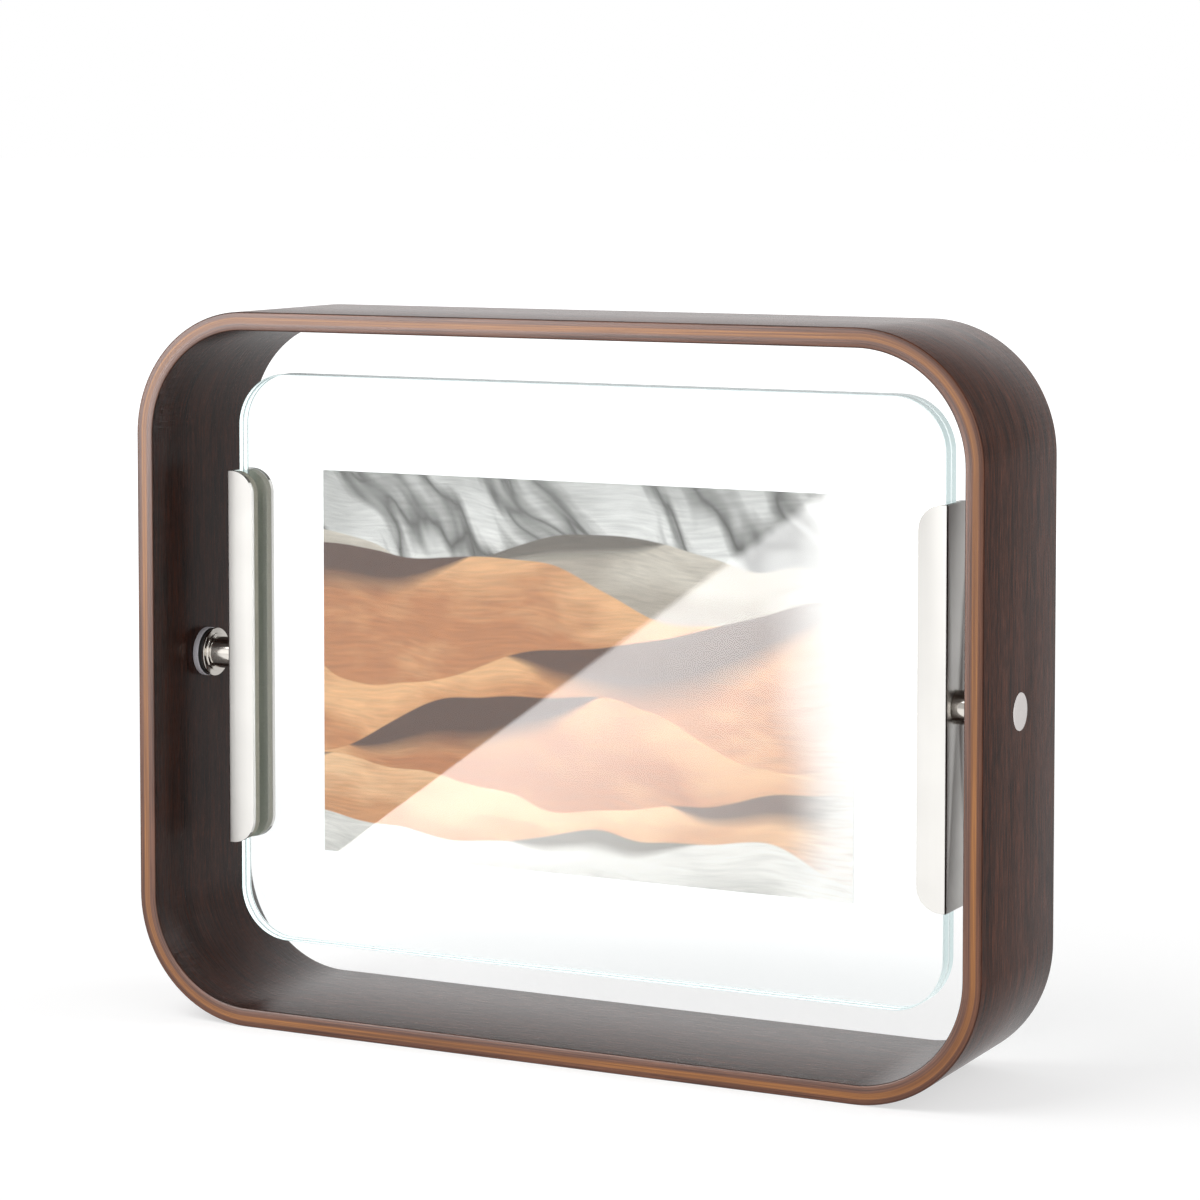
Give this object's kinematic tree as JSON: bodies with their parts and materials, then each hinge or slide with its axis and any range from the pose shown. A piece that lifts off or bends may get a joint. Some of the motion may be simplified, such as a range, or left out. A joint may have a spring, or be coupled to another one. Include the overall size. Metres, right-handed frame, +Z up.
{
  "type": "desktop photo frame",
  "caption": "Rounded bent-plywood loop standing on edge, with a glass sandwich panel for a landscape print that swivels between its sides.",
  "frame": {"origin": "middle of the flat underside of the loop, on the surface that it stands on", "axes": "+X along the width to the viewer's right, +Y from the front to the back, +Z up"},
  "size_m": [0.2388, 0.0502, 0.188],
  "materials": {
    "walnut": "dark satin lacquer, grain along the strip",
    "core_wood": "orange-brown cut ply edge, satin lacquer",
    "satin_nickel": "satin",
    "polished_nickel": "polished",
    "satin_sheet": "fine satin",
    "black_fibre": "matt",
    "grey_silicone": "matt",
    "clear_glass": "clear, polished edges",
    "photo_paper": "semi-gloss print"
  },
  "bodies": {
    "loop": {"outer_ply": "walnut", "core_ply": "core_wood", "inner_ply": "walnut", "left_pivot_post": "satin_nickel", "right_pivot_post": "satin_nickel", "left_wall_washer": "satin_nickel", "right_wall_washer": "satin_nickel", "left_friction_washer": "black_fibre", "right_friction_washer": "black_fibre", "left_pivot_screw": "polished_nickel", "right_pivot_screw": "polished_nickel"},
    "swivel_panel": {"left_spacer": "polished_nickel", "right_spacer": "polished_nickel", "left_channel": "satin_sheet", "right_channel": "satin_sheet", "left_front_grip": "grey_silicone", "left_back_grip": "grey_silicone", "right_front_grip": "grey_silicone", "right_back_grip": "grey_silicone"},
    "front_glass": {"front_pane": "clear_glass"},
    "back_glass": {"back_pane": "clear_glass", "print_sheet": "photo_paper"}
  },
  "joints": [
    {"name": "panel_swivel", "type": "hinge", "parent": "loop", "child": "swivel_panel", "pos_m": [0, 0, 0.0945], "axis": [1, 0, 0], "continuous": true},
    {"name": "front_pane_slide", "type": "slide", "parent": "swivel_panel", "child": "front_glass", "axis": [0, 0, 1], "range_m": [-0.012, 0.012]},
    {"name": "back_pane_slide", "type": "slide", "parent": "swivel_panel", "child": "back_glass", "axis": [0, 0, 1], "range_m": [-0.012, 0.012]}
  ]
}
